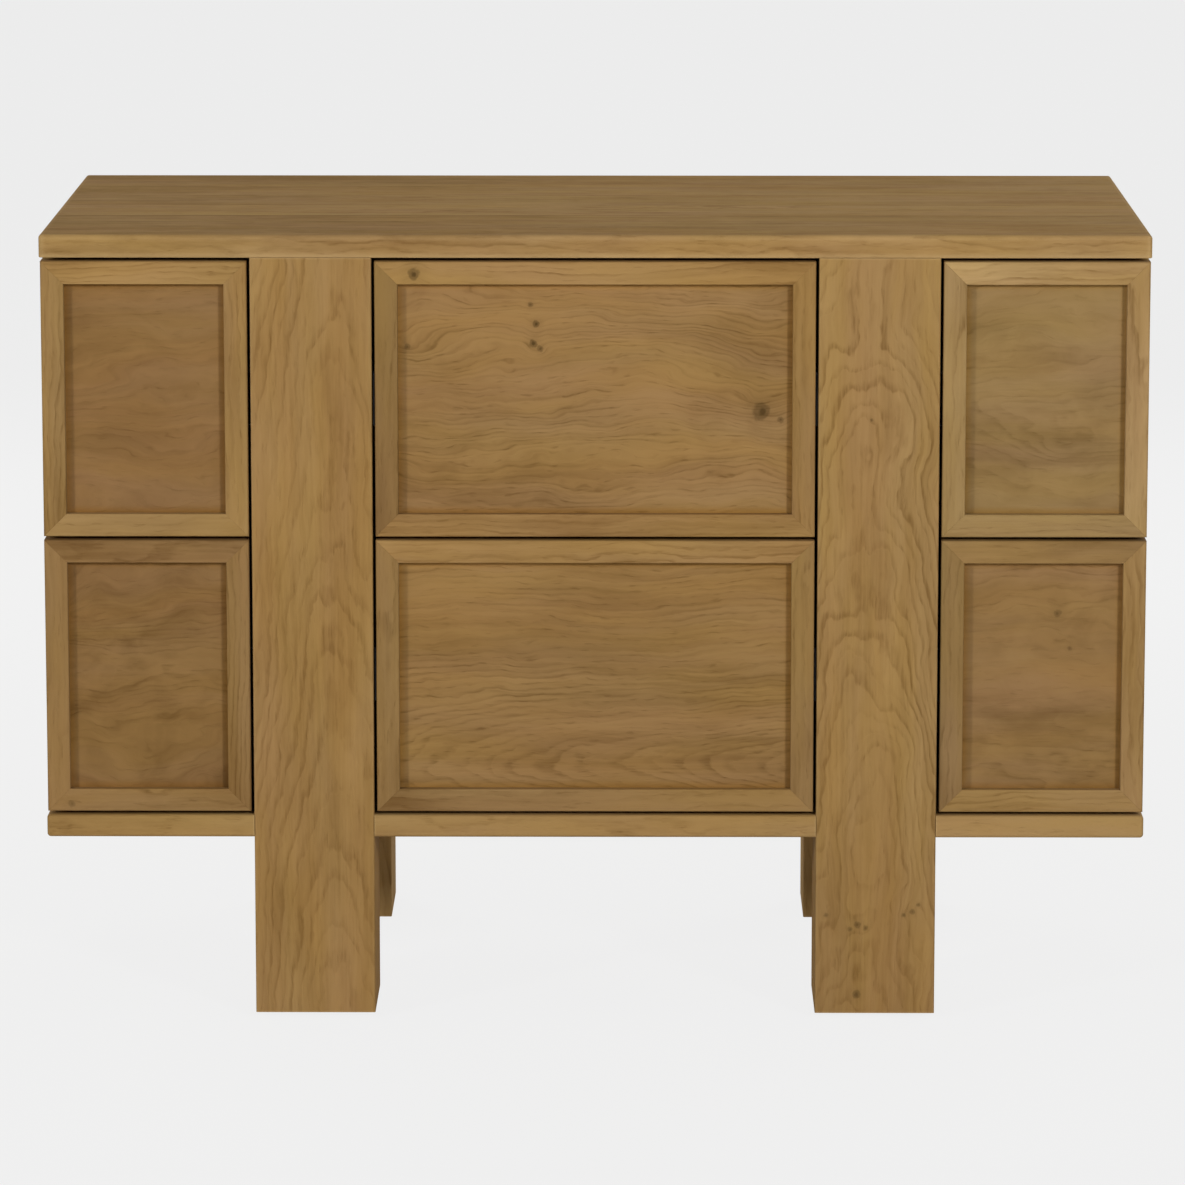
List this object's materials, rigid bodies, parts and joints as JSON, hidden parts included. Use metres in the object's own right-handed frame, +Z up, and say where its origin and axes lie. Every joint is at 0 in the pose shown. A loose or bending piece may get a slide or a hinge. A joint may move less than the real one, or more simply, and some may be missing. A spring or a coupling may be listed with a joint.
{
  "type": "nightstand",
  "caption": "Wide oak nightstand on full-height square posts, with push-to-open drawers whose fronts are mitred frames round recessed panels.",
  "frame": {"origin": "on the floor under the middle of the piece", "axes": "+X to the right seen from the front, +Y to the back, +Z up; the drawers open along -Y"},
  "size_m": [0.914, 0.457, 0.66],
  "materials": {
    "oak": "honey-brown oak, satin lacquer",
    "oak_panel": "honey-brown oak, satin lacquer",
    "drawer_wood": "pale hardwood, clear lacquer",
    "inner_wood": "plain hardwood, unfinished",
    "back_plywood": "oak-faced plywood, matte",
    "runner_steel": "black zinc plate",
    "screw_steel": "zinc plate",
    "latch_plastic": "moulded grey plastic",
    "plunger_plastic": "moulded pale plastic",
    "glide_nylon": "dark nylon"
  },
  "bodies": {
    "case": {"top_slab": "oak", "bottom_slab": "oak", "left_side_panel": "oak", "right_side_panel": "oak", "front_left_post": "oak", "front_right_post": "oak", "rear_left_post": "oak", "rear_right_post": "oak", "post_end_blocks": "inner_wood", "left_bay_wall": "inner_wood", "centre_bay_left_wall": "inner_wood", "centre_bay_right_wall": "inner_wood", "right_bay_wall": "inner_wood", "left_back_panel": "back_plywood", "centre_back_panel": "back_plywood", "right_back_panel": "back_plywood", "foot_glides": "glide_nylon", "left_case_runners": "runner_steel", "centre_case_runners": "runner_steel", "right_case_runners": "runner_steel", "latch_housings": "latch_plastic", "case_dowels": "inner_wood", "runner_screws": "screw_steel"},
    "left_lower_drawer": {"left_lower_front_frame": "oak", "left_lower_front_panel": "oak_panel", "left_lower_drawer_box": "drawer_wood", "left_lower_drawer_runners": "runner_steel"},
    "left_lower_middle": {"left_lower_middle_runners": "runner_steel"},
    "left_lower_plunger": {"left_lower_latch_plunger": "plunger_plastic"},
    "left_upper_drawer": {"left_upper_front_frame": "oak", "left_upper_front_panel": "oak_panel", "left_upper_drawer_box": "drawer_wood", "left_upper_drawer_runners": "runner_steel"},
    "left_upper_middle": {"left_upper_middle_runners": "runner_steel"},
    "left_upper_plunger": {"left_upper_latch_plunger": "plunger_plastic"},
    "centre_lower_drawer": {"centre_lower_front_frame": "oak", "centre_lower_front_panel": "oak_panel", "centre_lower_drawer_box": "drawer_wood", "centre_lower_drawer_runners": "runner_steel"},
    "centre_lower_middle": {"centre_lower_middle_runners": "runner_steel"},
    "centre_lower_plunger": {"centre_lower_latch_plunger": "plunger_plastic"},
    "centre_upper_drawer": {"centre_upper_front_frame": "oak", "centre_upper_front_panel": "oak_panel", "centre_upper_drawer_box": "drawer_wood", "centre_upper_drawer_runners": "runner_steel"},
    "centre_upper_middle": {"centre_upper_middle_runners": "runner_steel"},
    "centre_upper_plunger": {"centre_upper_latch_plunger": "plunger_plastic"},
    "right_lower_drawer": {"right_lower_front_frame": "oak", "right_lower_front_panel": "oak_panel", "right_lower_drawer_box": "drawer_wood", "right_lower_drawer_runners": "runner_steel"},
    "right_lower_middle": {"right_lower_middle_runners": "runner_steel"},
    "right_lower_plunger": {"right_lower_latch_plunger": "plunger_plastic"},
    "right_upper_drawer": {"right_upper_front_frame": "oak", "right_upper_front_panel": "oak_panel", "right_upper_drawer_box": "drawer_wood", "right_upper_drawer_runners": "runner_steel"},
    "right_upper_middle": {"right_upper_middle_runners": "runner_steel"},
    "right_upper_plunger": {"right_upper_latch_plunger": "plunger_plastic"}
  },
  "joints": [
    {"name": "left_lower_slide", "type": "slide", "parent": "case", "child": "left_lower_drawer", "axis": [0, -1, 0], "range_m": [-0.003, 0.345]},
    {"name": "left_lower_middle_slide", "type": "slide", "parent": "case", "child": "left_lower_middle", "axis": [0, -1, 0], "range_m": [-0.0015, 0.1725]},
    {"name": "left_lower_latch_push", "type": "slide", "parent": "case", "child": "left_lower_plunger", "axis": [0, -1, 0], "range_m": [-0.003, 0], "stiffness_N_per_m": 400},
    {"name": "left_upper_slide", "type": "slide", "parent": "case", "child": "left_upper_drawer", "axis": [0, -1, 0], "range_m": [-0.003, 0.345]},
    {"name": "left_upper_middle_slide", "type": "slide", "parent": "case", "child": "left_upper_middle", "axis": [0, -1, 0], "range_m": [-0.0015, 0.1725]},
    {"name": "left_upper_latch_push", "type": "slide", "parent": "case", "child": "left_upper_plunger", "axis": [0, -1, 0], "range_m": [-0.003, 0], "stiffness_N_per_m": 400},
    {"name": "centre_lower_slide", "type": "slide", "parent": "case", "child": "centre_lower_drawer", "axis": [0, -1, 0], "range_m": [-0.003, 0.345]},
    {"name": "centre_lower_middle_slide", "type": "slide", "parent": "case", "child": "centre_lower_middle", "axis": [0, -1, 0], "range_m": [-0.0015, 0.1725]},
    {"name": "centre_lower_latch_push", "type": "slide", "parent": "case", "child": "centre_lower_plunger", "axis": [0, -1, 0], "range_m": [-0.003, 0], "stiffness_N_per_m": 400},
    {"name": "centre_upper_slide", "type": "slide", "parent": "case", "child": "centre_upper_drawer", "axis": [0, -1, 0], "range_m": [-0.003, 0.345]},
    {"name": "centre_upper_middle_slide", "type": "slide", "parent": "case", "child": "centre_upper_middle", "axis": [0, -1, 0], "range_m": [-0.0015, 0.1725]},
    {"name": "centre_upper_latch_push", "type": "slide", "parent": "case", "child": "centre_upper_plunger", "axis": [0, -1, 0], "range_m": [-0.003, 0], "stiffness_N_per_m": 400},
    {"name": "right_lower_slide", "type": "slide", "parent": "case", "child": "right_lower_drawer", "axis": [0, -1, 0], "range_m": [-0.003, 0.345]},
    {"name": "right_lower_middle_slide", "type": "slide", "parent": "case", "child": "right_lower_middle", "axis": [0, -1, 0], "range_m": [-0.0015, 0.1725]},
    {"name": "right_lower_latch_push", "type": "slide", "parent": "case", "child": "right_lower_plunger", "axis": [0, -1, 0], "range_m": [-0.003, 0], "stiffness_N_per_m": 400},
    {"name": "right_upper_slide", "type": "slide", "parent": "case", "child": "right_upper_drawer", "axis": [0, -1, 0], "range_m": [-0.003, 0.345]},
    {"name": "right_upper_middle_slide", "type": "slide", "parent": "case", "child": "right_upper_middle", "axis": [0, -1, 0], "range_m": [-0.0015, 0.1725]},
    {"name": "right_upper_latch_push", "type": "slide", "parent": "case", "child": "right_upper_plunger", "axis": [0, -1, 0], "range_m": [-0.003, 0], "stiffness_N_per_m": 400}
  ],
  "couplings": [
    {"joint": "left_lower_middle_slide", "follows": "left_lower_slide", "ratio": 0.5},
    {"joint": "left_upper_middle_slide", "follows": "left_upper_slide", "ratio": 0.5},
    {"joint": "centre_lower_middle_slide", "follows": "centre_lower_slide", "ratio": 0.5},
    {"joint": "centre_upper_middle_slide", "follows": "centre_upper_slide", "ratio": 0.5},
    {"joint": "right_lower_middle_slide", "follows": "right_lower_slide", "ratio": 0.5},
    {"joint": "right_upper_middle_slide", "follows": "right_upper_slide", "ratio": 0.5}
  ]
}
